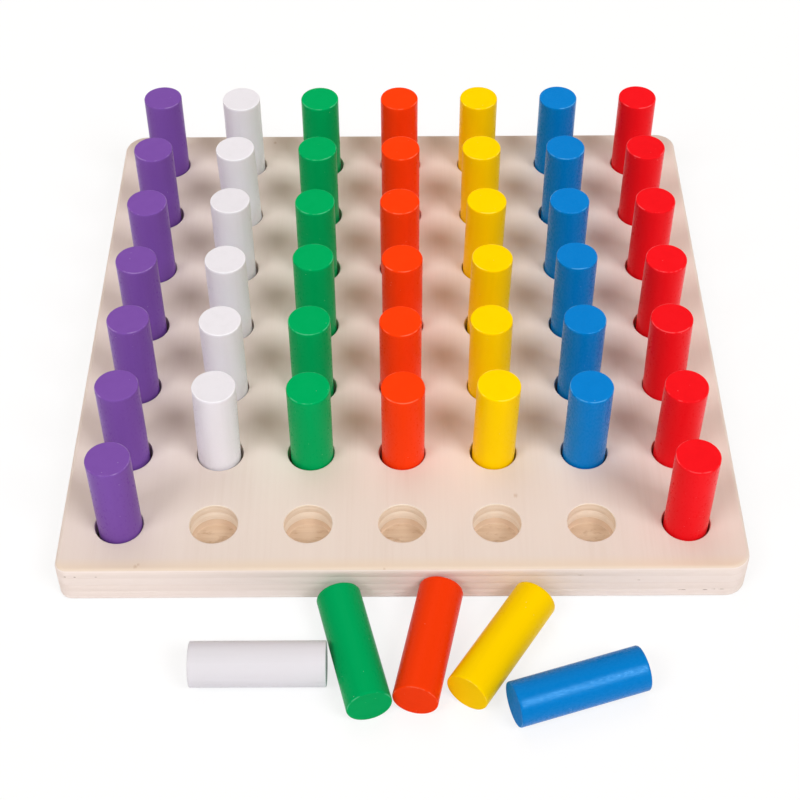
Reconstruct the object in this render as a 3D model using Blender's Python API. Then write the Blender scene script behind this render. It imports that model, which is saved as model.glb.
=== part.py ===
"""A peg board toy: a square plywood board with a grid of blind holes, and a painted dowel peg for each hole.

The pegs stand in their holes, one colour to a column, apart from five of the front row, which lie on the
table in front of the board. The origin is the middle of the board's underside, +Y points to the back row and
+Z up.
"""

import math

import bmesh
import bpy
from mathutils import Matrix, Vector

MM = 0.001

# Pegs
PEG_DIAMETER = 20 * MM
PEG_LENGTH = 59 * MM
PEG_END_ROUND = 0.5 * MM

# Holes: how far apart they are, how loosely a peg fits, and the wood that is left under them
HOLE_PITCH = 42.8 * MM
HOLE_CLEARANCE = 1 * MM
HOLE_FLOOR = 7 * MM

# Board: EDGE_MARGIN runs from the middle of an outer hole to the board's side. The corners are sanded by hand,
# so each one has a radius of its own.
EDGE_MARGIN = 26.6 * MM
BOARD_THICKNESS = 21 * MM
FRONT_LEFT_RADIUS = 6 * MM
FRONT_RIGHT_RADIUS = 10 * MM
BACK_LEFT_RADIUS = 12 * MM
BACK_RIGHT_RADIUS = 10 * MM
BOARD_EDGE_ROUND = 2 * MM

# A standing peg is this far above the floor of its hole. It stands to one side by a share of the clearance, and
# tips by another share of it, which is how far its axis moves sideways between mid-depth and the hole's rim.
SEAT_GAP = 0.3 * MM
LEAN_SHARE = 0.5
TIP_SHARE = 0.15

# Facets of the round shapes
ROUND_SIDES = 24
PEG_END_STEPS = 1
CORNER_STEPS = 6
EDGE_STEPS = 2
SMOOTH_ANGLE = math.radians(35)
CUTTER_OVERRUN = 5 * MM
LEVEL_TOLERANCE = 0.01 * MM

# The columns from left to right, with their paint as sRGB levels, and the bare wood of the board
COLUMNS = ("purple", "white", "green", "orange", "yellow", "blue", "red")
PAINTS = {
    "purple": (122, 82, 170),
    "white": (235, 232, 234),
    "green": (6, 168, 98),
    "orange": (251, 64, 22),
    "yellow": (253, 211, 2),
    "blue": (2, 125, 203),
    "red": (244, 28, 37),
}
PLYWOOD = (231, 211, 199)
PAINT_ROUGHNESS = 0.45
PLYWOOD_ROUGHNESS = 0.75

# The rows from back to front, with two letters for the peg of each column. The first is the side of its hole
# that it stands nearer to: L for left, R for right or C for the centre. The second is the way that its top tips:
# l for left, r for right, f for the front, b for the back or a dot for none. Dashes are an empty hole.
ROWS = (
    "Rb C. L. L. L. L. L.",
    "L. Rl L. C. L. R. L.",
    "R. Lb L. L. Lr L. C.",
    "L. C. Cb R. Rr Cb Rf",
    "Cb R. L. Lf L. R. Ll",
    "Lb Lr Rf Rf Cr Cf Cf",
    "R. -- -- -- -- -- C.",
)
EMPTY_HOLE = "--"
SIDES = {"L": -1, "C": 0, "R": 1}
TIPS = {".": (0, 0), "l": (-1, 0), "r": (1, 0), "f": (0, -1), "b": (0, 1)}

# The pegs on the table: how far each one lies from the board's front and from the peg on its left. The first
# one's left end is LOOSE_ROW_LEFT from the board's middle.
LOOSE_ROW_LEFT = -92 * MM
WHITE_FRONT_GAP = 31.6 * MM
GREEN_FRONT_GAP = 3.5 * MM
ORANGE_FRONT_GAP = 0.6 * MM
YELLOW_FRONT_GAP = 1.9 * MM
BLUE_FRONT_GAP = 35 * MM
CLOSE_SIDE_GAP = 0.4 * MM
YELLOW_SIDE_GAP = 1.4 * MM
BLUE_SIDE_GAP = 2.4 * MM

# The same pegs from left to right: colour, heading of the axis from +X in degrees, front gap and side gap
LOOSE_PEGS = (
    ("white", 0, WHITE_FRONT_GAP, 0),
    ("green", 104, GREEN_FRONT_GAP, CLOSE_SIDE_GAP),
    ("orange", 78, ORANGE_FRONT_GAP, CLOSE_SIDE_GAP),
    ("yellow", 57, YELLOW_FRONT_GAP, YELLOW_SIDE_GAP),
    ("blue", 18, BLUE_FRONT_GAP, BLUE_SIDE_GAP),
)

# Sizes that follow from the ones above
PEG_RADIUS = PEG_DIAMETER / 2
HOLE_RADIUS = PEG_RADIUS + HOLE_CLEARANCE
HALF_DEPTH = (BOARD_THICKNESS - HOLE_FLOOR) / 2
TIP_ANGLE = math.atan(HOLE_CLEARANCE * TIP_SHARE / HALF_DEPTH)
BOARD_WIDTH = (len(COLUMNS) - 1) * HOLE_PITCH + 2 * EDGE_MARGIN
BOARD_LENGTH = (len(ROWS) - 1) * HOLE_PITCH + 2 * EDGE_MARGIN
HALF_FACET = math.pi / ROUND_SIDES


def clear_scene():
    for leftover in list(bpy.data.objects):
        bpy.data.objects.remove(leftover)


def new_collection(name):
    collection = bpy.data.collections.new(name)
    bpy.context.scene.collection.children.link(collection)
    return collection


def linear(level):
    """One sRGB level, 0 to 255, as the linear value that a shader takes."""
    share = level / 255
    if share <= 0.04045:
        return share / 12.92
    return ((share + 0.055) / 1.055) ** 2.4


def new_material(name, levels, roughness):
    material = bpy.data.materials.new(name)
    material.use_nodes = True
    shader = material.node_tree.nodes["Principled BSDF"]
    shader.inputs["Base Color"].default_value = (*map(linear, levels), 1)
    shader.inputs["Roughness"].default_value = roughness
    shader.inputs["Metallic"].default_value = 0
    return material


def add_round_bar(shape, radius, foot, top, place=(0, 0)):
    """Adds an upright cylinder between two heights, with flats that face along X and Y."""
    middle = Vector((*place, (foot + top) / 2))
    bmesh.ops.create_cone(
        shape,
        cap_ends=True,
        segments=ROUND_SIDES,
        radius1=radius,
        radius2=radius,
        depth=top - foot,
        matrix=Matrix.Translation(middle) @ Matrix.Rotation(HALF_FACET, 4, "Z"),
    )


def level_edges(shape):
    """The edges whose two ends are at one height."""
    level = []
    for edge in shape.edges:
        start, end = edge.verts
        if math.isclose(start.co.z, end.co.z, abs_tol=LEVEL_TOLERANCE):
            level.append(edge)
    return level


def upright_edges(shape):
    level = set(level_edges(shape))
    return [edge for edge in shape.edges if edge not in level]


def round_edges(shape, edges, radius, steps):
    bmesh.ops.bevel(shape, geom=edges, offset=radius, segments=steps, profile=0.5, affect="EDGES")


def round_corners(shape):
    """Rounds the board's four upright edges. Each one is found as the farthest out towards its own corner."""
    radii = {
        (-1, -1): FRONT_LEFT_RADIUS,
        (1, -1): FRONT_RIGHT_RADIUS,
        (-1, 1): BACK_LEFT_RADIUS,
        (1, 1): BACK_RIGHT_RADIUS,
    }
    for way, radius in radii.items():
        corner = max(upright_edges(shape), key=lambda edge: edge.verts[0].co.xy.dot(Vector(way)))
        round_edges(shape, [corner], radius, CORNER_STEPS)


def finished_mesh(shape, name, material=None):
    mesh = bpy.data.meshes.new(name)
    shape.to_mesh(mesh)
    shape.free()
    mesh.shade_smooth()
    mesh.set_sharp_from_angle(angle=SMOOTH_ANGLE)
    if material:
        mesh.materials.append(material)
    return mesh


def peg_mesh(colour):
    """A dowel that stands on its origin, with its sharp ends just broken."""
    shape = bmesh.new()
    add_round_bar(shape, PEG_RADIUS, 0, PEG_LENGTH)
    round_edges(shape, level_edges(shape), PEG_END_ROUND, PEG_END_STEPS)
    coat = new_material(f"{colour}_paint", PAINTS[colour], PAINT_ROUGHNESS)
    return finished_mesh(shape, f"peg_{colour}", coat)


def hole_place(column, row):
    """The middle of a hole, seen from above."""
    return (
        (column - (len(COLUMNS) - 1) / 2) * HOLE_PITCH,
        ((len(ROWS) - 1) / 2 - row) * HOLE_PITCH,
    )


def add_board(parts, cutters):
    """The board with rounded corners and edges, and the holes bored into it."""
    shape = bmesh.new()
    size = Vector((BOARD_WIDTH, BOARD_LENGTH, BOARD_THICKNESS))
    place = Matrix.Translation((0, 0, BOARD_THICKNESS / 2))
    bmesh.ops.create_cube(shape, size=1, matrix=place @ Matrix.Diagonal((*size, 1)))
    round_corners(shape)
    round_edges(shape, level_edges(shape), BOARD_EDGE_ROUND, EDGE_STEPS)
    plywood = new_material("plywood", PLYWOOD, PLYWOOD_ROUGHNESS)
    board = bpy.data.objects.new("board", finished_mesh(shape, "board", plywood))
    parts.objects.link(board)

    bores = bpy.data.objects.new("hole_cutter", bore_mesh())
    bores.display_type = "WIRE"
    bores.hide_render = True
    cutters.objects.link(bores)

    holes = board.modifiers.new("holes", "BOOLEAN")
    holes.operation = "DIFFERENCE"
    holes.solver = "EXACT"
    holes.object = bores
    return board


def bore_mesh():
    """A bar for each hole. Its flats lie on the hole's circle, so that a round peg keeps its clearance."""
    shape = bmesh.new()
    for row in range(len(ROWS)):
        for column in range(len(COLUMNS)):
            radius = HOLE_RADIUS / math.cos(HALF_FACET)
            top = BOARD_THICKNESS + CUTTER_OVERRUN
            add_round_bar(shape, radius, HOLE_FLOOR, top, hole_place(column, row))
    return finished_mesh(shape, "hole_cutter")


def add_standing_pegs(parts, meshes):
    """Stands each peg in its hole, tipped about mid-depth and raised until its low edge has the seat gap."""
    for row, stances in enumerate(ROWS):
        for column, stance in enumerate(stances.split()):
            if stance == EMPTY_HOLE:
                continue
            colour = COLUMNS[column]
            side, way = stance
            tip_x, tip_y = TIPS[way]
            angle = math.hypot(tip_x, tip_y) * TIP_ANGLE
            foot = HOLE_FLOOR + SEAT_GAP + PEG_RADIUS * math.sin(angle)
            drift = (HOLE_FLOOR + HALF_DEPTH - foot) * math.tan(angle)
            x, y = hole_place(column, row)
            x += SIDES[side] * LEAN_SHARE * HOLE_CLEARANCE

            peg = bpy.data.objects.new(f"peg_{colour}_{row + 1}", meshes[colour])
            peg.rotation_euler = (-tip_y * angle, tip_x * angle, 0)
            peg.location = (x - tip_x * drift, y - tip_y * drift, foot)
            parts.objects.link(peg)


def outline(middle, heading):
    """The four corners of a lying peg, seen from above."""
    along = Vector((math.cos(heading), math.sin(heading))) * PEG_LENGTH / 2
    across = Vector((-math.sin(heading), math.cos(heading))) * PEG_RADIUS
    ends = (along + across, across - along, -along - across, along - across)
    return [middle + end for end in ends]


def x_span(corners, y):
    """The lowest and highest x that an outline has at y, or None where it doesn't reach."""
    found = []
    for start, end in zip(corners, corners[1:] + corners[:1]):
        low, high = sorted((start.y, end.y))
        if not low <= y <= high:
            continue
        if low == high:
            found += [start.x, end.x]
        else:
            found.append(start.x + (end.x - start.x) * (y - start.y) / (end.y - start.y))
    return (min(found), max(found)) if found else None


def gap_along_x(left, right):
    """The narrowest gap along X between two outlines, or between their ends where they lie past each other."""
    gaps = []
    for corner in left + right:
        left_span = x_span(left, corner.y)
        right_span = x_span(right, corner.y)
        if left_span and right_span:
            gaps.append(right_span[0] - left_span[1])
    if gaps:
        return min(gaps)
    return min(corner.x for corner in right) - max(corner.x for corner in left)


def add_loose_pegs(parts, meshes):
    """Lays each loose peg at its gap from the board, and along X at its gap from the one before it."""
    axis_height = PEG_RADIUS * math.cos(HALF_FACET)
    board_front = -BOARD_LENGTH / 2
    neighbour = None
    for colour, degrees, front_gap, side_gap in LOOSE_PEGS:
        heading = math.radians(degrees)
        corners = outline(Vector((0, 0)), heading)
        middle = Vector((0, board_front - front_gap - max(corner.y for corner in corners)))
        if neighbour:
            middle.x = side_gap - gap_along_x(neighbour, outline(middle, heading))
        else:
            middle.x = LOOSE_ROW_LEFT - min(corner.x for corner in corners)
        neighbour = outline(middle, heading)

        foot = middle - Vector((math.cos(heading), math.sin(heading))) * PEG_LENGTH / 2
        peg = bpy.data.objects.new(f"peg_{colour}_loose", meshes[colour])
        peg.rotation_euler = (0, math.radians(90), heading)
        peg.location = (*foot, axis_height)
        parts.objects.link(peg)


def build():
    clear_scene()
    parts = new_collection("peg_board")
    cutters = new_collection("cutters")
    add_board(parts, cutters)
    meshes = {colour: peg_mesh(colour) for colour in COLUMNS}
    add_standing_pegs(parts, meshes)
    add_loose_pegs(parts, meshes)

    toy = bpy.data.objects.new("peg_board_set", None)
    parts.objects.link(toy)
    for piece in parts.objects:
        if piece is not toy:
            piece.parent = toy


build()
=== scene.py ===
"""Looks of the peg board: a plywood board with milled holes, and the painted dowel pegs that go into them."""

import math

import bmesh
import bpy
import numpy as np
from mathutils import Matrix, Vector


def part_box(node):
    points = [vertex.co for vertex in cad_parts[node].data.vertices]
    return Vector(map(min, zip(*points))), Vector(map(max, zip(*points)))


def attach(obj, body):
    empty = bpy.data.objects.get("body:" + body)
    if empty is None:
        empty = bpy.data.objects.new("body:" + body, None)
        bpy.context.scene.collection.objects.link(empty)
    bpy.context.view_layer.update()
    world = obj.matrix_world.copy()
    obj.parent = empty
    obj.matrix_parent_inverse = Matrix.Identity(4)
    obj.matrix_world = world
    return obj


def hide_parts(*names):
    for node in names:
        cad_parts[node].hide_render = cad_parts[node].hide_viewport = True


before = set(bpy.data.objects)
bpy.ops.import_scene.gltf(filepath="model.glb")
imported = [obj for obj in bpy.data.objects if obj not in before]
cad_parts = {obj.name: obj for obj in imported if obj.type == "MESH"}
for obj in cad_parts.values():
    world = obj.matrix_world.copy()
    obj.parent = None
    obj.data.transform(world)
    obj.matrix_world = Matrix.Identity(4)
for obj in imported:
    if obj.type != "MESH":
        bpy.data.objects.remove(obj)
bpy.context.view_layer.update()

MM = 0.001

# Sizes of the solids. The round on the ends of the pegs is a little smaller here.
HOLES_PER_SIDE = 7
HOLE_PITCH = 42.8 * MM
HOLE_RADIUS = 11 * MM
HOLE_DEPTH = 14 * MM
BOARD_HALF = 155 * MM
BOARD_THICKNESS = 21 * MM
CORNER_RADII = [10 * MM, 10 * MM, 12 * MM, 6 * MM]
EDGE_ROUND = 2 * MM
PEG_RADIUS = 10 * MM
PEG_LENGTH = 59 * MM
PEG_END_ROUND = 0.4 * MM

# The sides of the board in the order of its corners: each radius above is the corner at the end of that side
FRONT, RIGHT, BACK, LEFT = range(4)

# What the faces of the board are, as the number kept on each face
FACE, SIDE, WALL, FLOOR = range(4)

# The plies of the board from its top down, and how dark each one is. The glue lines between them are fine
# grooves where the wood is cut. A ply wavers by a little.
PLIES = [1.2 * MM, 3.6 * MM, 5.2 * MM, 4.4 * MM, 3.2 * MM, 2.2 * MM, 1.2 * MM]
PLY_TONES = [0, 0.25, 0, 0.9, 0.4, 0.2, 0]
PLY_WAVER = 0.25 * MM
GLUE_LINES = [sum(PLIES[:count]) for count in range(1, len(PLIES))]
GLUE_GROOVE = 0.04 * MM
GLUE_HALF_WIDTH = 0.14 * MM

# Small dark gaps in the cut plies, painted with the shade of their hollows: side of the board, place along
# it, height and half length
PLY_GAPS = (
    (FRONT, -150 * MM, 17 * MM, 0.5 * MM),
    (FRONT, -145.7 * MM, 17 * MM, 0.5 * MM),
    (FRONT, -136.4 * MM, 17 * MM, 0.7 * MM),
    (FRONT, 79 * MM, 16.8 * MM, 1.5 * MM),
    (FRONT, 105.3 * MM, 13 * MM, 0.8 * MM),
    (FRONT, 125.4 * MM, 5.6 * MM, 1.8 * MM),
    (FRONT, 135.6 * MM, 5.5 * MM, 1.5 * MM),
    (FRONT, 139.4 * MM, 6 * MM, 1.2 * MM),
    (FRONT, 143 * MM, 5.9 * MM, 1.4 * MM),
    (RIGHT, 40 * MM, 6 * MM, 1.8 * MM),
    (RIGHT, -88 * MM, 12.4 * MM, 1 * MM),
    (BACK, -84 * MM, 12.5 * MM, 2 * MM),
    (BACK, 52 * MM, 5.4 * MM, 1.2 * MM),
    (LEFT, -22 * MM, 5.6 * MM, 1.6 * MM),
    (LEFT, 97 * MM, 16.7 * MM, 0.8 * MM),
)
GAP_HALF_HEIGHT = 0.22 * MM

# Small brown specks in the face: place across, place along and half the width. They are longer than wide.
FACE_SPECKS = (
    (-118.5 * MM, -152.3 * MM, 0.8 * MM),
    (-117.4 * MM, -151.2 * MM, 0.7 * MM),
    (-8.3 * MM, -154.4 * MM, 0.6 * MM),
    (52 * MM, -112.4 * MM, 1 * MM),
    (-71 * MM, 148.2 * MM, 0.8 * MM),
)
SPECK_STRETCH = 1.4

# More reaches away than any gap or speck shows
FAR_FROM_MARKS = 9

# The rings of a hole. Its broken rim is given by the reach past the wall and the depth, the foot of its
# wall by the reach in from the wall and the height above the floor, and its floor by the radius and the
# depth below the floor. The cutter leaves fine rings on the floor and a dimple in the middle.
HOLE_RIM = ((0.9 * MM, 0), (0.32 * MM, 0), (0.1 * MM, 0.07 * MM))
WALL_START = 0.3 * MM
WALL_FOOT = ((0, 0.4 * MM), (0.12 * MM, 0.1 * MM))
HOLE_FLOOR = (
    (HOLE_RADIUS - 0.4 * MM, 0),
    (HOLE_RADIUS - 1.3 * MM, 0.03 * MM),
    (HOLE_RADIUS * 0.66, -0.02 * MM),
    (HOLE_RADIUS * 0.4, 0.03 * MM),
    (1.5 * MM, 0),
    (1.1 * MM, 0.06 * MM),
    (0.35 * MM, 0.7 * MM),
)
CUTTER_STEP = 0.9 * MM

# How uneven turning and sanding leave a peg: by how much, in how many waves per metre across it, and the
# share of those waves along it
PEG_UNEVENNESS = 0.14 * MM
SWELL_SCALE = 130
SWELL_ALONG = 0.16

# Shares of a peg's radius: where its end starts, and how far in the worn rim reaches
END_START = 0.001
RIM_REACH = 0.01

# How far the pattern of the paint moves from one peg to the next
SEED_SHIFT = (0.31, 0.17, 0.23)

# Fineness of the meshes. The rings of a peg crowd towards its rims by a power.
TILE_STEPS = 12
TILE_MIDDLE = 0.6
SIDE_STEPS = 82
CORNER_STEPS = 10
ROUND_STEPS = 4
FACE_BORDER = 0.15 * MM
WELD_REACH = 0.005 * MM
PEG_SIDES = 64
PEG_RINGS = 16
PEG_END_RINGS = 5
RING_CROWDING = 3
TINY = 0.001 * MM

# Paint as sRGB levels. The gloss of a paint is its specular level, how white that is, and how far its
# roughness varies. The ends of the pegs are rougher by a set amount.
BLACK = (0, 0, 0)
WHITE = (255, 255, 255)
PAINTS = {
    "purple": (121, 80, 168),
    "white": (236, 235, 245),
    "green": (0, 167, 93),
    "orange": (252, 62, 12),
    "yellow": (254, 211, 0),
    "blue": (0, 124, 207),
    "red": (240, 22, 31),
}
GLOSS = {
    "purple": (0.07, 0.3, 0.02),
    "white": (0.05, 1, 0.02),
    "green": (0.06, 0.1, 0.02),
    "orange": (0.07, 0.15, 0.02),
    "yellow": (0.06, 0.1, 0.02),
    "blue": (0.17, 0.5, 0.1),
    "red": (0.07, 0.15, 0.02),
}
PAINT_ROUGHNESS = 0.29
MATTE_END = 0.45

# Shares by which the paint is darker: up to a little from peg to peg, as a random tone, and on the ends and
# on the loose pegs, as painted shade
PEG_SHADE = 0.03
GOLDEN_SHARE = 0.618
END_PAINTED_SHADE = dict.fromkeys(PAINTS, 0.02) | {"white": 0.1}
LOOSE_PAINTED_SHADE = {"white": 0.21, "green": 0.14, "orange": 0.16, "yellow": 0.1, "blue": 0.11}

# Light specks in the paint: their count per metre, size, strength, and the mottle above which they show
PAINT_SPECK_SCALE = 330
PAINT_SPECK_SIZE = 0.062
PAINT_SPECK_SHARE = 0.4
PAINT_SPECK_START = 0.56

# Wood as sRGB levels, with its specular levels and how strong the streaks of the cut plies are
FACE_LIGHT = (221, 208, 200)
FACE_MIDDLE = (219, 205, 197)
FACE_DARK = (216, 201, 192)
FACE_RIM = (222, 202, 180)
FACE_SPECK = (176, 142, 112)
EDGE_LIGHT = (229, 217, 213)
EDGE_DARK = (225, 212, 207)
EDGE_GLUE = (218, 203, 197)
WALL_LIGHT = (245, 233, 219)
WALL_DARK = (222, 197, 173)
WALL_GLUE = (218, 191, 165)
FLOOR_LIGHT = (218, 196, 173)
FLOOR_DARK = (203, 176, 150)
FLOOR_SMUDGE = (175, 137, 106)
GAP_SHADE = (112, 84, 68)
FACE_GLOSS = 0.3
CUT_GLOSS = 0.25
EDGE_STREAKS = 0.2
WALL_STREAKS = 0.5

# Along the front of the face: a warm band just behind the edge, given by where it starts, is full, fades and
# ends, and a painted shade, darkest at the front, that fades out further back. Distances are from the front
# of the board.
RIM_BAND = (-0.4 * MM, 1.2 * MM, 3 * MM, 8 * MM)
RIM_BAND_SHARE = 0.65
FRONT_PAINTED_SHADE = 0.04
FRONT_PAINTED_SHADE_REACH = 60 * MM

# Depth and strength of the fine relief of each surface
PAINT_RELIEF = (0.03 * MM, 0.15)
FACE_RELIEF = (0.05 * MM, 0.45)
CUT_RELIEF = (0.08 * MM, 0.5)
FLOOR_RELIEF = (0.07 * MM, 0.5)

# The white floor of the stage: half its width, how far below the part it lies, and how much of it glows
STAGE_HALF = 8
STAGE_DROP = 0.1 * MM
STAGE_COLOUR = (0.92, 0.93, 0.96, 1)
STAGE_ROUGHNESS = 0.9
STAGE_GLOW = 0.78

# Lamps are a little cool, and the light from all round is warm. A lamp is given by its azimuth from the front
# towards the right, its elevation, distance, size and power. One of them shows in the gloss alone.
WORLD_TINT = (1, 0.77, 0.52, 1)
WORLD_STRENGTH = 0.37
LAMP_TINT = (0.935, 0.972, 1)
SOFTBOXES = {
    "left_softbox": (-45, 48, 15, 5.6, 860),
    "right_softbox": (45, 48, 15, 5.4, 1190),
    "back_softbox": (-155, 68, 2.5, 1.4, 12.2),
    "front_softbox": (0, 12, 5, 1.8, 6.5),
    "gloss_softbox": (40, 48, 15, 8.5, 3700),
}
GLOSS_LAMP = "gloss_softbox"

# The camera: what it looks at, from how far, its angles and its lens
CAMERA_TARGET = Vector((-0.865 * MM, -51.971 * MM, BOARD_THICKNESS))
CAMERA_DISTANCE = 803.098 * MM
CAMERA_ELEVATION = math.radians(46.908)
CAMERA_YAW = math.radians(0.0188)
CAMERA_ROLL = math.radians(-0.2658)
CAMERA_LENS = 74.572
CAMERA_SENSOR = 36
CAMERA_NEAR = 0.05
CAMERA_FAR = 50


# Node helpers


def linear(levels):
    """sRGB levels as the linear colour that a shader takes."""
    shares = [level / 255 for level in levels]
    return (*[s / 12.92 if s <= 0.04045 else ((s + 0.055) / 1.055) ** 2.4 for s in shares], 1)


def toward(levels, other, share):
    """A colour that is mixed from two, as sRGB levels."""
    return tuple(a + (b - a) * share for a, b in zip(levels, other))


def add_node(tree, kind, inputs=None, **settings):
    node = tree.nodes.new(kind)
    for name, value in settings.items():
        setattr(node, name, value)
    for name, value in (inputs or {}).items():
        if isinstance(value, bpy.types.NodeSocket):
            tree.links.new(value, node.inputs[name])
        else:
            node.inputs[name].default_value = value
    return node


def calc(tree, operation, *values):
    return add_node(tree, "ShaderNodeMath", dict(enumerate(values)), operation=operation).outputs[0]


def vector_calc(tree, operation, *values):
    node = add_node(tree, "ShaderNodeVectorMath", dict(enumerate(values)), operation=operation)
    return node.outputs["Value" if operation == "LENGTH" else "Vector"]


def spread(tree, value, low, high, new_low, new_high):
    """Carries a value from one range to another, and stops at its ends."""
    inputs = {"Value": value, 1: low, 2: high, 3: new_low, 4: new_high}
    return add_node(tree, "ShaderNodeMapRange", inputs).outputs[0]


def mix(tree, share, first, second):
    inputs = {0: share, 6: first, 7: second}
    return add_node(tree, "ShaderNodeMix", inputs, data_type="RGBA").outputs[2]


def noise(tree, vector, scale, detail=3, roughness=0.55, distortion=0):
    """A noise pattern, with its own count of waves per metre along each axis of the vector."""
    inputs = {
        "Vector": add_node(tree, "ShaderNodeMapping", {"Vector": vector, "Scale": scale}).outputs[0],
        "Scale": 1,
        "Detail": detail,
        "Roughness": roughness,
        "Distortion": distortion,
    }
    return add_node(tree, "ShaderNodeTexNoise", inputs).outputs[0]


def color_ramp(tree, share, stops):
    node = add_node(tree, "ShaderNodeValToRGB", {0: share})
    elements = node.color_ramp.elements
    for number, (place, levels) in enumerate(stops):
        element = elements[number] if number < 2 else elements.new(place)
        element.position = place
        element.color = linear(levels)
    return node.outputs[0]


def kept_value(tree, name, output="Fac"):
    """What a mesh keeps under a name, in its material."""
    return add_node(tree, "ShaderNodeAttribute", attribute_name=name).outputs[output]


def object_place(tree):
    return add_node(tree, "ShaderNodeTexCoord").outputs["Object"]


def new_material(name):
    material = bpy.data.materials.new(name)
    material.use_nodes = True
    tree = material.node_tree
    return material, tree, tree.nodes["Principled BSDF"]


def finish_surface(tree, shader, colour, roughness, height, relief, gloss):
    """Joins colour, roughness and relief to a shader, and sets its specular level."""
    depth, strength = relief
    bump = add_node(tree, "ShaderNodeBump", {"Height": height, "Distance": depth, "Strength": strength})
    tree.links.new(colour, shader.inputs["Base Color"])
    tree.links.new(roughness, shader.inputs["Roughness"])
    tree.links.new(bump.outputs[0], shader.inputs["Normal"])
    shader.inputs["Specular IOR Level"].default_value = gloss


# Materials


def paint(colour):
    """Satin toy paint over a turned dowel, with lengthwise grain, light specks, worn rims and matte ends, and
    painted shade on the ends and on the loose pegs.
    """
    levels = PAINTS[colour]
    material, tree, shader = new_material(f"{colour}_paint")
    place = kept_value(tree, "paint_place", "Vector")
    end = kept_value(tree, "paint_end")
    streaks = noise(tree, place, (950, 950, 22), 5, 0.6)
    bands = noise(tree, place, (190, 190, 9), 2)
    mottle = noise(tree, place, (160, 160, 160), 4, 0.6)
    grain = noise(tree, place, (1000, 1000, 550), 2, 0.5)

    tone = color_ramp(
        tree,
        calc(tree, "MULTIPLY_ADD", bands, 0.7, calc(tree, "MULTIPLY", streaks, 0.3)),
        (
            (0.3, toward(levels, BLACK, 0.015)),
            (0.5, levels),
            (0.72, toward(levels, WHITE, 0.013)),
        ),
    )
    cells = add_node(tree, "ShaderNodeTexVoronoi", {"Vector": place, "Scale": PAINT_SPECK_SCALE})
    speck = calc(tree, "LESS_THAN", cells.outputs["Distance"], PAINT_SPECK_SIZE)
    speck = calc(tree, "MULTIPLY", speck, calc(tree, "GREATER_THAN", mottle, PAINT_SPECK_START))
    speck = calc(tree, "MULTIPLY", speck, PAINT_SPECK_SHARE)
    tone = mix(tree, speck, tone, linear(toward(levels, WHITE, 0.75)))
    worn = calc(tree, "MULTIPLY", kept_value(tree, "paint_rim"), spread(tree, mottle, 0.48, 0.6, 0, 0.6))
    tone = mix(tree, worn, tone, linear(toward(levels, WHITE, 0.4)))
    # Painted shade: the ends are darker, added to the kept share, which holds the random tone from peg to peg
    # and the painted shade of the loose pegs
    shade = calc(tree, "MULTIPLY_ADD", end, END_PAINTED_SHADE[colour], kept_value(tree, "paint_shade"))
    tone = mix(tree, shade, tone, linear(BLACK))

    level, whiteness, variation = GLOSS[colour]
    roughness = spread(tree, grain, 0.35, 0.65, PAINT_ROUGHNESS - variation, PAINT_ROUGHNESS + variation)
    roughness = calc(tree, "MULTIPLY_ADD", end, MATTE_END, roughness)
    height = calc(tree, "MULTIPLY_ADD", streaks, 0.2, mottle)
    finish_surface(tree, shader, tone, roughness, height, PAINT_RELIEF, level)
    shader.inputs["Specular Tint"].default_value = linear(toward(levels, WHITE, whiteness))
    return material


def board_face():
    """Pale sanded veneer, with its grain from front to back."""
    material, tree, shader = new_material("plywood_face")
    place = object_place(tree)
    figure = noise(tree, place, (46, 3.5, 46), 3, 0.5, 0.6)
    fibres = noise(tree, place, (620, 16, 620), 4, 0.65)
    pores = noise(tree, place, (1500, 70, 1500), 2, 0.5)
    grain = calc(tree, "MULTIPLY_ADD", figure, 0.55, calc(tree, "MULTIPLY", fibres, 0.45))
    tone = color_ramp(tree, grain, ((0.33, FACE_DARK), (0.47, FACE_MIDDLE), (0.66, FACE_LIGHT)))
    tone = mix(tree, spread(tree, pores, 0.64, 0.74, 0, 0.3), tone, linear(FACE_DARK))

    y = add_node(tree, "ShaderNodeSeparateXYZ", {0: place}).outputs[1]
    from_front = calc(tree, "ADD", y, BOARD_HALF)
    start, full, fading, end = RIM_BAND
    rising = spread(tree, from_front, start, full, 0, RIM_BAND_SHARE)
    falling = spread(tree, from_front, fading, end, RIM_BAND_SHARE, 0)
    tone = mix(tree, calc(tree, "MINIMUM", rising, falling), tone, linear(FACE_RIM))
    # Painted shade: the face is darker towards its front edge, and the darkening fades out further back
    tone = mix(tree, spread(tree, from_front, 0, FRONT_PAINTED_SHADE_REACH, FRONT_PAINTED_SHADE, 0), tone, linear(BLACK))

    speck = near_mark(tree, place, speck_marks())
    speck = calc(tree, "ADD", speck, spread(tree, pores, 0.3, 0.7, -0.4, 0.4))
    tone = mix(tree, spread(tree, speck, 0.3, 1.3, 0.5, 0), tone, linear(FACE_SPECK))
    roughness = spread(tree, fibres, 0.3, 0.7, 0.62, 0.78)
    sunk = spread(tree, pores, 0.6, 0.75, 0, 0.4)
    height = calc(tree, "SUBTRACT", calc(tree, "MULTIPLY", fibres, 0.7), sunk)
    finish_surface(tree, shader, tone, roughness, height, FACE_RELIEF, FACE_GLOSS)
    return material


def ply_stops(light, dark, glue):
    """Colour stops up the board's thickness: each ply in its own tone, with thin glue lines between them."""
    stops = []
    foot = 0
    for ply, tone in zip(reversed(PLIES), reversed(PLY_TONES)):
        levels = toward(light, dark, tone)
        head = foot + ply
        stops.append(((foot + GLUE_HALF_WIDTH) / BOARD_THICKNESS, levels))
        stops.append(((head - GLUE_HALF_WIDTH) / BOARD_THICKNESS, levels))
        stops.append((head / BOARD_THICKNESS, glue))
        foot = head
    return stops[:-1]


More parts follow.
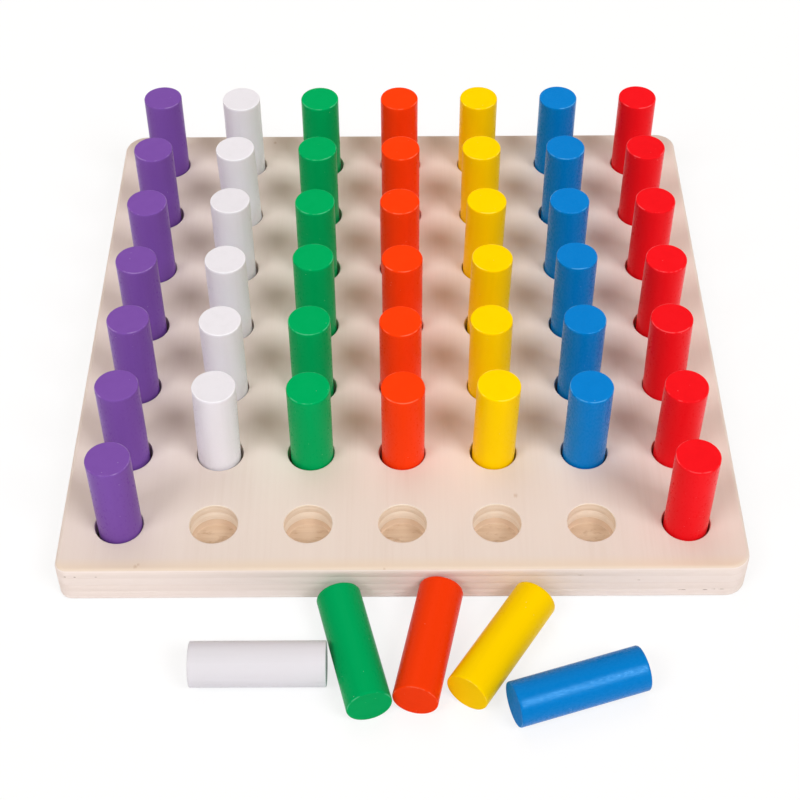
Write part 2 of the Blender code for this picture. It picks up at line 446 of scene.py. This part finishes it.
def near_mark(tree, place, marks):
    """How near a place is to the closest mark, where under 1 is in it. A mark is a middle and a reach."""
    nearest = FAR_FROM_MARKS
    for middle, reach in marks:
        share = vector_calc(tree, "DIVIDE", vector_calc(tree, "SUBTRACT", place, middle), reach)
        nearest = calc(tree, "MINIMUM", nearest, vector_calc(tree, "LENGTH", share))
    return nearest


def quarter_turn(count):
    """Turns what is drawn for the front of the board to another of its sides."""
    return Matrix.Rotation(count * math.pi / 2, 3, "Z")


def ply_gap_marks():
    marks = []
    for side, along, height, half_length in PLY_GAPS:
        middle = Vector((along, -BOARD_HALF, height))
        reach = Vector((half_length, CORNER_RADII[LEFT], GAP_HALF_HEIGHT))
        marks.append((quarter_turn(side) @ middle, quarter_turn(side) @ reach))
    return marks


def speck_marks():
    marks = []
    for x, y, half_width in FACE_SPECKS:
        reach = Vector((half_width, SPECK_STRETCH * half_width, EDGE_ROUND))
        marks.append((Vector((x, y, BOARD_THICKNESS)), reach))
    return marks


def cut_plies(name, light, dark, glue, streak):
    """The sawn or milled edge of the plies, in level bands with the cut fibres in each."""
    material, tree, shader = new_material(name)
    place = object_place(tree)
    height = add_node(tree, "ShaderNodeSeparateXYZ", {0: place}).outputs[2]
    waver = noise(tree, place, (22, 22, 60), 2)
    level = calc(tree, "ADD", height, spread(tree, waver, 0.25, 0.75, -PLY_WAVER, PLY_WAVER))
    share = calc(tree, "DIVIDE", level, BOARD_THICKNESS)
    tone = color_ramp(tree, share, ply_stops(light, dark, glue))
    lines = noise(tree, place, (35, 35, 1900), 4, 0.6)
    ends = noise(tree, place, (900, 900, 900), 3, 0.6)
    tone = mix(tree, spread(tree, lines, 0.52, 0.72, 0, streak), tone, linear(glue))
    tone = mix(tree, spread(tree, ends, 0.58, 0.75, 0, 0.25), tone, linear(dark))
    # Painted shade in the gaps of the plies, which have no hollow in the mesh
    gap = near_mark(tree, place, ply_gap_marks())
    gap = calc(tree, "ADD", gap, spread(tree, ends, 0.3, 0.7, -0.5, 0.5))
    tone = mix(tree, spread(tree, gap, 0.6, 1, 0.85, 0), tone, linear(GAP_SHADE))
    roughness = spread(tree, ends, 0.3, 0.7, 0.68, 0.85)
    relief = calc(tree, "MULTIPLY_ADD", lines, -0.6, calc(tree, "MULTIPLY", ends, 0.4))
    finish_surface(tree, shader, tone, roughness, relief, CUT_RELIEF, CUT_GLOSS)
    return material


def hole_floor():
    """The floor of a hole, milled into an inner ply: warm wood with faint cutter rings."""
    material, tree, shader = new_material("hole_floor")
    place = object_place(tree)
    in_hole = kept_value(tree, "hole_place", "Vector")
    radius = vector_calc(tree, "LENGTH", vector_calc(tree, "MULTIPLY", in_hole, (1, 1, 0)))
    fibres = noise(tree, place, (12, 520, 100), 4, 0.65)
    figure = noise(tree, place, (30, 120, 30), 2)
    turns = calc(tree, "MULTIPLY", radius, 2 * math.pi / CUTTER_STEP)
    rings = calc(tree, "SINE", calc(tree, "ADD", turns, calc(tree, "MULTIPLY", figure, 2.5)))
    grain = calc(tree, "MULTIPLY_ADD", fibres, 0.6, calc(tree, "MULTIPLY", figure, 0.4))
    tone = color_ramp(tree, grain, ((0.34, FLOOR_DARK), (0.62, FLOOR_LIGHT)))
    tone = mix(tree, spread(tree, rings, 0.2, 1, 0, 0.14), tone, linear(FLOOR_DARK))
    smudges = noise(tree, place, (170, 330, 170), 4, 0.65)
    tone = mix(tree, spread(tree, smudges, 0.54, 0.7, 0, 0.55), tone, linear(FLOOR_SMUDGE))
    roughness = spread(tree, fibres, 0.3, 0.7, 0.7, 0.85)
    relief = calc(tree, "MULTIPLY_ADD", rings, 0.25, fibres)
    finish_surface(tree, shader, tone, roughness, relief, FLOOR_RELIEF, CUT_GLOSS)
    return material


# Geometry Nodes helpers


def new_tree(name, inputs):
    """A Geometry Nodes tree with named inputs. Returns it with its input sockets and their identifiers."""
    tree = bpy.data.node_groups.new(name, "GeometryNodeTree")
    tree.interface.new_socket("Geometry", in_out="OUTPUT", socket_type="NodeSocketGeometry")
    identifiers = {}
    for label, kind in inputs.items():
        socket = tree.interface.new_socket(label, in_out="INPUT", socket_type=f"NodeSocket{kind}")
        identifiers[label] = socket.identifier
    given = tree.nodes.new("NodeGroupInput").outputs
    return tree, {label: given[label] for label in inputs}, identifiers


def keep_value(tree, geometry, name, value, data_type="FLOAT"):
    """Keeps a value at each point of a shape under a name, for its material."""
    inputs = {"Geometry": geometry, "Name": name, "Value": value}
    settings = {"data_type": data_type, "domain": "POINT"}
    return add_node(tree, "GeometryNodeStoreNamedAttribute", inputs, **settings).outputs[0]


def end_tree(tree, geometry, materials):
    """Ends a tree: instances made real, then each material set, on the faces of its number if it has one."""
    geometry = add_node(tree, "GeometryNodeRealizeInstances", {0: geometry}).outputs[0]
    for number, material in materials.items():
        inputs = {"Geometry": geometry, "Material": material}
        if number is not None:
            kind = add_node(tree, "GeometryNodeInputNamedAttribute", {"Name": "surface"}, data_type="INT")
            inputs["Selection"] = calc(tree, "COMPARE", kind.outputs[0], number, 0.1)
        geometry = add_node(tree, "GeometryNodeSetMaterial", inputs).outputs[0]
    tree.links.new(geometry, add_node(tree, "NodeGroupOutput").inputs[0])


def grown(name, tree, identifiers, values):
    """Runs a tree with the given values on a new object, and keeps the result as the object's plain mesh."""
    piece = bpy.data.objects.new(name, bpy.data.meshes.new(name))
    bpy.context.scene.collection.objects.link(piece)
    modifier = piece.modifiers.new("build", "NODES")
    modifier.node_group = tree
    for label, value in values.items():
        modifier[identifiers[label]] = value
    graph = bpy.context.evaluated_depsgraph_get()
    mesh = bpy.data.meshes.new_from_object(
        piece.evaluated_get(graph), preserve_all_data_layers=True, depsgraph=graph
    )
    piece.modifiers.remove(modifier)
    empty = piece.data
    piece.data = mesh
    bpy.data.meshes.remove(empty)
    mesh.name = name
    return piece


# Pegs


def peg_tree():
    """A dowel along Z with its middle at the origin. Its rings crowd towards the ends, which are rounded."""
    tree, given, identifiers = new_tree(
        "painted_peg",
        {
            "Radius": "Float",
            "Length": "Float",
            "End round": "Float",
            "Sides": "Int",
            "Unevenness": "Float",
            "Seed": "Float",
            "Shade": "Float",
            "Paint": "Material",
        },
    )
    radius = given["Radius"]
    end_round = given["End round"]
    seed = given["Seed"]
    half = calc(tree, "MULTIPLY", given["Length"], 0.5)
    sizes = {
        "Vertices": given["Sides"],
        "Side Segments": PEG_RINGS,
        "Fill Segments": PEG_END_RINGS,
        "Radius": radius,
        "Depth": given["Length"],
    }
    dowel = add_node(tree, "GeometryNodeMeshCylinder", sizes, fill_type="TRIANGLE_FAN").outputs["Mesh"]
    position = add_node(tree, "GeometryNodeInputPosition").outputs[0]
    x, y, z = add_node(tree, "ShaderNodeSeparateXYZ", {0: position}).outputs

    # Across: the rings of the ends crowd towards the rim
    out = vector_calc(tree, "LENGTH", vector_calc(tree, "MULTIPLY", position, (1, 1, 0)))
    inward = calc(tree, "MAXIMUM", calc(tree, "SUBTRACT", 1, calc(tree, "DIVIDE", out, radius)), 0)
    crowded = calc(tree, "POWER", inward, RING_CROWDING)
    new_out = calc(tree, "MULTIPLY", calc(tree, "SUBTRACT", 1, crowded), radius)

    # Along: the rings of the side crowd towards the ends, and the last of them follow the round
    from_end = calc(tree, "SUBTRACT", 1, calc(tree, "DIVIDE", calc(tree, "ABSOLUTE", z), half))
    crowded = calc(tree, "POWER", calc(tree, "MAXIMUM", from_end, 0), RING_CROWDING)
    from_end = calc(tree, "MULTIPLY", crowded, half)
    new_z = calc(tree, "MULTIPLY", calc(tree, "SIGN", z), calc(tree, "SUBTRACT", half, from_end))
    out_of_round = calc(tree, "MINIMUM", calc(tree, "DIVIDE", from_end, end_round), 1)
    into_round = calc(tree, "SUBTRACT", 1, out_of_round)
    kept = calc(tree, "SQRT", calc(tree, "SUBTRACT", 1, calc(tree, "MULTIPLY", into_round, into_round)))
    drawn_in = calc(tree, "MULTIPLY", end_round, calc(tree, "SUBTRACT", 1, kept))
    share = calc(tree, "SUBTRACT", 1, calc(tree, "DIVIDE", drawn_in, radius))

    # Flats and swellings that turning and sanding leave
    scale = (SWELL_SCALE, SWELL_SCALE, SWELL_SCALE * SWELL_ALONG)
    around = vector_calc(tree, "MULTIPLY", position, scale)
    waves = {"Vector": around, "W": seed, "Scale": 1, "Detail": 1}
    swell = add_node(tree, "ShaderNodeTexNoise", waves, noise_dimensions="4D").outputs[0]
    swell = calc(tree, "MULTIPLY", calc(tree, "SUBTRACT", swell, 0.5), given["Unevenness"])
    share = calc(tree, "ADD", share, calc(tree, "DIVIDE", swell, radius))

    stretch = calc(tree, "MULTIPLY", new_out, share)
    stretch = calc(tree, "DIVIDE", stretch, calc(tree, "MAXIMUM", out, TINY))
    new_x = calc(tree, "MULTIPLY", x, stretch)
    new_y = calc(tree, "MULTIPLY", y, stretch)
    new_place = add_node(tree, "ShaderNodeCombineXYZ", {0: new_x, 1: new_y, 2: new_z}).outputs[0]

    # What the paint needs to know
    on_rim = calc(tree, "MULTIPLY", into_round, calc(tree, "LESS_THAN", inward, RIM_REACH))
    dowel = keep_value(tree, dowel, "paint_rim", on_rim)
    dowel = keep_value(tree, dowel, "paint_end", calc(tree, "GREATER_THAN", inward, END_START))
    # The share by which the paint is darker: a random tone, and painted shade on the loose pegs
    dowel = keep_value(tree, dowel, "paint_shade", given["Shade"])
    moves = {"Geometry": dowel, "Position": new_place}
    dowel = add_node(tree, "GeometryNodeSetPosition", moves).outputs[0]
    moved = add_node(tree, "ShaderNodeCombineXYZ", {0: seed, 1: seed, 2: seed}).outputs[0]
    moved = vector_calc(tree, "MULTIPLY", moved, SEED_SHIFT)
    moved = vector_calc(tree, "ADD", moved, add_node(tree, "GeometryNodeInputPosition").outputs[0])
    dowel = keep_value(tree, dowel, "paint_place", moved, "FLOAT_VECTOR")
    dowel = add_node(tree, "GeometryNodeSetShadeSmooth", {0: dowel}).outputs[0]
    end_tree(tree, dowel, {None: given["Paint"]})
    return tree, identifiers


def cad_points(node):
    return np.array([vertex.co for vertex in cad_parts[node].data.vertices])


def peg_turn(node):
    """Where a peg of the solids lies: the place of its middle, with Z turned along its axis."""
    low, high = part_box(node)
    middle = (low + high) / 2
    axis = Vector(np.linalg.svd(cad_points(node) - np.array(middle))[2][0])
    if axis.z < 0:
        axis.negate()
    return Matrix.Translation(middle) @ axis.to_track_quat("Z", "Y").to_matrix().to_4x4()


def add_pegs():
    tree, identifiers = peg_tree()
    paints = {colour: paint(colour) for colour in PAINTS}
    nodes = sorted(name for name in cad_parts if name.startswith("peg_"))
    for number, node in enumerate(nodes):
        colour = node.split("_")[1]
        # A random tone from peg to peg, and on the loose pegs a painted shade on top of it
        shade = PEG_SHADE * (number * GOLDEN_SHARE % 1)
        if node.endswith("loose"):
            shade += LOOSE_PAINTED_SHADE[colour]
        values = {
            "Radius": PEG_RADIUS,
            "Length": PEG_LENGTH,
            "End round": PEG_END_ROUND,
            "Sides": PEG_SIDES,
            "Unevenness": PEG_UNEVENNESS,
            "Seed": 1.0 + number,
            "Shade": shade,
            "Paint": paints[colour],
        }
        peg = grown(f"painted_{node}", tree, identifiers, values)
        peg.data.transform(peg_turn(node))
        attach(peg, node)
        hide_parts(node)


# Board


def tile_square():
    """Points round the square that one hole takes up, from its front left corner."""
    points = []
    half = HOLE_PITCH / 2
    for side in (FRONT, RIGHT, BACK, LEFT):
        for step in range(TILE_STEPS):
            along = -half + HOLE_PITCH * step / TILE_STEPS
            points.append(quarter_turn(side) @ Vector((along, -half, 0)))
    return points


def tile_ring(radius, depth):
    """Points round a ring of a hole, from its front left as well."""
    count = 4 * TILE_STEPS
    points = []
    for step in range(count):
        angle = 2 * math.pi * step / count - 0.75 * math.pi
        points.append(Vector((radius * math.cos(angle), radius * math.sin(angle), -depth)))
    return points


def hole_profile():
    """Radius, depth and surface of each ring of a hole, from its rim down the wall and in over the floor."""
    rings = [(HOLE_RADIUS + reach, depth, FACE) for reach, depth in HOLE_RIM]
    rings.append((HOLE_RADIUS, WALL_START, WALL))
    for line in GLUE_LINES:
        if line + GLUE_HALF_WIDTH < HOLE_DEPTH:
            rings.append((HOLE_RADIUS, line - GLUE_HALF_WIDTH, WALL))
            rings.append((HOLE_RADIUS + GLUE_GROOVE, line, WALL))
            rings.append((HOLE_RADIUS, line + GLUE_HALF_WIDTH, WALL))
    rings += [(HOLE_RADIUS - reach, HOLE_DEPTH - height, WALL) for reach, height in WALL_FOOT]
    rings += [(radius, HOLE_DEPTH + depth, FLOOR) for radius, depth in HOLE_FLOOR]
    return rings


def add_loop(shape, points):
    return [shape.verts.new(point) for point in points]


def add_face(shape, corners, surface, kind):
    face = shape.faces.new(corners)
    face.smooth = True
    face[surface] = kind


def join_loops(shape, first, second, surface, kind):
    """A band of faces between two loops of one length, with the first on the left hand of the way round."""
    for step in range(len(first)):
        after = (step + 1) % len(first)
        add_face(shape, (first[step], first[after], second[after], second[step]), surface, kind)


def finish_shape(shape, name):
    mesh = bpy.data.meshes.new(name)
    shape.to_mesh(mesh)
    shape.free()
    return mesh


def hole_tile():
    """The square of board round one hole, open below: its face, the rim, the wall and the floor."""
    shape = bmesh.new()
    surface = shape.faces.layers.int.new("surface")
    profile = hole_profile()
    square = tile_square()
    first_ring = tile_ring(profile[0][0], 0)
    halfway = [corner.lerp(near, TILE_MIDDLE) for corner, near in zip(square, first_ring)]
    outer = add_loop(shape, square)
    inner = add_loop(shape, halfway)
    join_loops(shape, outer, inner, surface, FACE)
    for radius, depth, kind in profile:
        outer, inner = inner, add_loop(shape, tile_ring(radius, depth))
        join_loops(shape, outer, inner, surface, kind)
    middle = shape.verts.new((0, 0, inner[0].co.z))
    for step in range(len(inner)):
        add_face(shape, (inner[step], inner[(step + 1) % len(inner)], middle), surface, FLOOR)
    mesh = finish_shape(shape, "hole_tile")
    places = mesh.attributes.new("hole_place", "FLOAT_VECTOR", "POINT")
    places.data.foreach_set("vector", [number for vertex in mesh.vertices for number in vertex.co])
    return mesh


def board_outline(inset, height):
    """Points round the board, drawn in by an inset: each side and then the corner at its end."""
    points = []
    for side in (FRONT, RIGHT, BACK, LEFT):
        quarter = quarter_turn(side)
        start = CORNER_RADII[side - 1] - BOARD_HALF
        end = BOARD_HALF - CORNER_RADII[side]
        for step in range(SIDE_STEPS):
            along = start + (end - start) * step / SIDE_STEPS
            points.append(quarter @ Vector((along, inset - BOARD_HALF, height)))
        reach = CORNER_RADII[side] - inset
        for step in range(CORNER_STEPS):
            angle = math.pi / 2 * step / CORNER_STEPS
            corner = Vector((end + reach * math.sin(angle), -end - reach * math.cos(angle), height))
            points.append(quarter @ corner)
    return points


def side_profile():
    """Inset, height and surface of each loop of the board's outside, from the top face to the underside."""
    loops = [(EDGE_ROUND + FACE_BORDER, BOARD_THICKNESS, FACE)]
    for step in range(ROUND_STEPS + 1):
        angle = math.pi / 2 * step / ROUND_STEPS
        inset = EDGE_ROUND * (1 - math.sin(angle))
        drop = EDGE_ROUND * (1 - math.cos(angle))
        loops.append((inset, BOARD_THICKNESS - drop, SIDE if step > ROUND_STEPS / 2 else FACE))
    for line in GLUE_LINES:
        height = BOARD_THICKNESS - line
        if EDGE_ROUND < line - GLUE_HALF_WIDTH and line + GLUE_HALF_WIDTH < BOARD_THICKNESS - EDGE_ROUND:
            loops.append((0, height + GLUE_HALF_WIDTH, SIDE))
            loops.append((GLUE_GROOVE, height, SIDE))
            loops.append((0, height - GLUE_HALF_WIDTH, SIDE))
    for step in range(ROUND_STEPS + 1):
        angle = math.pi / 2 * step / ROUND_STEPS
        inset = EDGE_ROUND * (1 - math.cos(angle))
        rise = EDGE_ROUND * (1 - math.sin(angle))
        loops.append((inset, rise, SIDE if step <= ROUND_STEPS / 2 else FACE))
    loops.append((EDGE_ROUND + FACE_BORDER, 0, FACE))
    return loops


def way_round(point):
    """How far round the board a point is, as a count of sides from the front left corner."""
    if -point.y >= abs(point.x):
        return 0.5 + 0.5 * point.x / -point.y
    if point.x >= abs(point.y):
        return 1.5 + 0.5 * point.y / point.x
    if point.y >= abs(point.x):
        return 2.5 - 0.5 * point.x / point.y
    return 3.5 - 0.5 * point.y / -point.x


def zip_loops(shape, inner, outer, surface):
    """Fills the flat band between two loops of different lengths, corner by corner."""
    inner = sorted(inner, key=lambda vertex: way_round(vertex.co))
    outer = sorted(outer, key=lambda vertex: way_round(vertex.co))
    inner_step = 0
    outer_step = 0
    while inner_step < len(inner) or outer_step < len(outer):
        a = inner[inner_step % len(inner)]
        b = outer[outer_step % len(outer)]
        next_a = inner[(inner_step + 1) % len(inner)]
        next_b = outer[(outer_step + 1) % len(outer)]
        a_place = way_round(next_a.co) if inner_step + 1 < len(inner) else 4 + way_round(next_a.co)
        b_place = way_round(next_b.co) if outer_step + 1 < len(outer) else 4 + way_round(next_b.co)
        move_inner = outer_step >= len(outer) or (inner_step < len(inner) and a_place < b_place)
        add_face(shape, (a, b, next_a if move_inner else next_b), surface, FACE)
        inner_step += move_inner
        outer_step += not move_inner


def board_shell():
    """The outside of the board round the field of holes: border of the face, sides and underside."""
    shape = bmesh.new()
    surface = shape.faces.layers.int.new("surface")
    half = HOLES_PER_SIDE * HOLE_PITCH / 2
    steps = HOLES_PER_SIDE * TILE_STEPS
    field = []
    for side in (FRONT, RIGHT, BACK, LEFT):
        for step in range(steps):
            along = 2 * half * step / steps - half
            field.append(quarter_turn(side) @ Vector((along, -half, BOARD_THICKNESS)))
    inner = add_loop(shape, field)
    profile = side_profile()
    outer = add_loop(shape, board_outline(*profile[0][:2]))
    zip_loops(shape, inner, outer, surface)
    for inset, height, kind in profile[1:]:
        lower = add_loop(shape, board_outline(inset, height))
        join_loops(shape, lower, outer, surface, kind)
        outer = lower
    underside = shape.faces.new(list(reversed(outer)))
    underside[surface] = FACE
    return finish_shape(shape, "board_shell")


def board_tree():
    """The shell of the board with a hole tile at each point of a square grid, closed into one skin."""
    tree, given, identifiers = new_tree(
        "plywood_board",
        {
            "Shell": "Object",
            "Hole tile": "Object",
            "Holes per side": "Int",
            "Pitch": "Float",
            "Top": "Float",
            "Face": "Material",
            "Sides": "Material",
            "Hole walls": "Material",
            "Hole floors": "Material",
        },
    )
    shell = add_node(tree, "GeometryNodeObjectInfo", {"Object": given["Shell"]}).outputs["Geometry"]
    tile = add_node(tree, "GeometryNodeObjectInfo", {"Object": given["Hole tile"]}).outputs["Geometry"]
    count = given["Holes per side"]
    reach = calc(tree, "MULTIPLY", calc(tree, "SUBTRACT", count, 1), given["Pitch"])
    sizes = {"Size X": reach, "Size Y": reach, "Vertices X": count, "Vertices Y": count}
    grid = add_node(tree, "GeometryNodeMeshGrid", sizes).outputs["Mesh"]
    raised = add_node(tree, "ShaderNodeCombineXYZ", {2: given["Top"]}).outputs[0]
    grid = add_node(tree, "GeometryNodeSetPosition", {"Geometry": grid, "Offset": raised}).outputs[0]
    holes = add_node(tree, "GeometryNodeInstanceOnPoints", {"Points": grid, "Instance": tile}).outputs[0]
    holes = add_node(tree, "GeometryNodeRealizeInstances", {0: holes}).outputs[0]
    whole = add_node(tree, "GeometryNodeJoinGeometry")
    tree.links.new(shell, whole.inputs[0])
    tree.links.new(holes, whole.inputs[0])
    merge = {"Geometry": whole.outputs[0], "Distance": WELD_REACH}
    skin = add_node(tree, "GeometryNodeMergeByDistance", merge).outputs[0]
    materials = {
        FACE: given["Face"],
        SIDE: given["Sides"],
        WALL: given["Hole walls"],
        FLOOR: given["Hole floors"],
    }
    end_tree(tree, skin, materials)
    return tree, identifiers


def add_board():
    tree, identifiers = board_tree()
    values = {
        "Shell": bpy.data.objects.new("board_shell", board_shell()),
        "Hole tile": bpy.data.objects.new("hole_tile", hole_tile()),
        "Holes per side": HOLES_PER_SIDE,
        "Pitch": HOLE_PITCH,
        "Top": BOARD_THICKNESS,
        "Face": board_face(),
        "Sides": cut_plies("plywood_side", EDGE_LIGHT, EDGE_DARK, EDGE_GLUE, EDGE_STREAKS),
        "Hole walls": cut_plies("hole_wall", WALL_LIGHT, WALL_DARK, WALL_GLUE, WALL_STREAKS),
        "Hole floors": hole_floor(),
    }
    board = grown("plywood_board", tree, identifiers, values)
    for label in ("Shell", "Hole tile"):
        mesh = values[label].data
        bpy.data.objects.remove(values[label])
        bpy.data.meshes.remove(mesh)
    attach(board, "board")
    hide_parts("board")


# Stage, light and camera


def seen_directly(tree):
    """1 for what the camera sees, also in gloss or through glass, and 0 for light on its way."""
    path = add_node(tree, "ShaderNodeLightPath").outputs
    seen = calc(tree, "MAXIMUM", path["Is Camera Ray"], path["Is Glossy Ray"])
    return calc(tree, "MAXIMUM", seen, path["Is Transmission Ray"])


def add_floor():
    """A white floor that keeps a faint shadow of the object."""
    shape = bmesh.new()
    bmesh.ops.create_grid(shape, x_segments=1, y_segments=1, size=STAGE_HALF)
    floor = bpy.data.objects.new("studio_floor", finish_shape(shape, "studio_floor"))
    floor.location.z = -STAGE_DROP
    bpy.context.scene.collection.objects.link(floor)
    material, tree, shader = new_material("studio_floor")
    shader.inputs["Base Color"].default_value = STAGE_COLOUR
    shader.inputs["Roughness"].default_value = STAGE_ROUGHNESS
    shader.inputs["Specular IOR Level"].default_value = 0
    glow = add_node(tree, "ShaderNodeEmission", {"Color": linear(WHITE), "Strength": 1})
    seen = calc(tree, "MULTIPLY", seen_directly(tree), STAGE_GLOW)
    both = add_node(tree, "ShaderNodeMixShader", {0: seen, 1: shader.outputs[0], 2: glow.outputs[0]})
    tree.links.new(both.outputs[0], tree.nodes["Material Output"].inputs["Surface"])
    floor.data.materials.append(material)


def add_world():
    """Dim warm light from all round, behind a plain white background."""
    world = bpy.data.worlds.new("studio")
    bpy.context.scene.world = world
    world.use_nodes = True
    tree = world.node_tree
    around = add_node(tree, "ShaderNodeBackground", {"Color": WORLD_TINT, "Strength": WORLD_STRENGTH})
    white = add_node(tree, "ShaderNodeBackground", {"Color": linear(WHITE), "Strength": 1})
    seen = seen_directly(tree)
    both = add_node(tree, "ShaderNodeMixShader", {0: seen, 1: around.outputs[0], 2: white.outputs[0]})
    tree.links.new(both.outputs[0], tree.nodes["World Output"].inputs["Surface"])


def add_softbox(name, azimuth, elevation, distance, size, power):
    """A square lamp that faces the middle of the board."""
    lamp = bpy.data.lights.new(name, "AREA")
    lamp.shape = "SQUARE"
    lamp.size = size
    lamp.energy = power
    lamp.color = LAMP_TINT
    box = bpy.data.objects.new(name, lamp)
    turn = math.radians(azimuth)
    rise = math.radians(elevation)
    level = math.cos(rise)
    out = Vector((math.sin(turn) * level, -math.cos(turn) * level, math.sin(rise)))
    box.location = out * distance
    box.rotation_euler = out.to_track_quat("Z", "Y").to_euler()
    box.visible_diffuse = name != GLOSS_LAMP
    bpy.context.scene.collection.objects.link(box)


def add_camera():
    camera = bpy.data.cameras.new("photo_view")
    camera.lens = CAMERA_LENS
    camera.sensor_width = CAMERA_SENSOR
    camera.clip_start = CAMERA_NEAR
    camera.clip_end = CAMERA_FAR
    level = math.cos(CAMERA_ELEVATION)
    right = Vector((math.cos(CAMERA_YAW), -math.sin(CAMERA_YAW), 0))
    ahead = Vector((math.sin(CAMERA_YAW), math.cos(CAMERA_YAW), 0))
    forward = ahead * level - Vector((0, 0, math.sin(CAMERA_ELEVATION)))
    turn = Matrix((right, right.cross(forward), -forward)).transposed()
    turn = turn @ Matrix.Rotation(CAMERA_ROLL, 3, "Z")
    holder = bpy.data.objects.new("photo_view", camera)
    holder.matrix_world = Matrix.Translation(CAMERA_TARGET - forward * CAMERA_DISTANCE) @ turn.to_4x4()
    bpy.context.scene.collection.objects.link(holder)
    bpy.context.scene.camera = holder


def add_studio():
    bpy.context.scene.view_settings.view_transform = "Standard"
    add_floor()
    add_world()
    for name, values in SOFTBOXES.items():
        add_softbox(name, *values)
    add_camera()


add_board()
add_pegs()
add_studio()
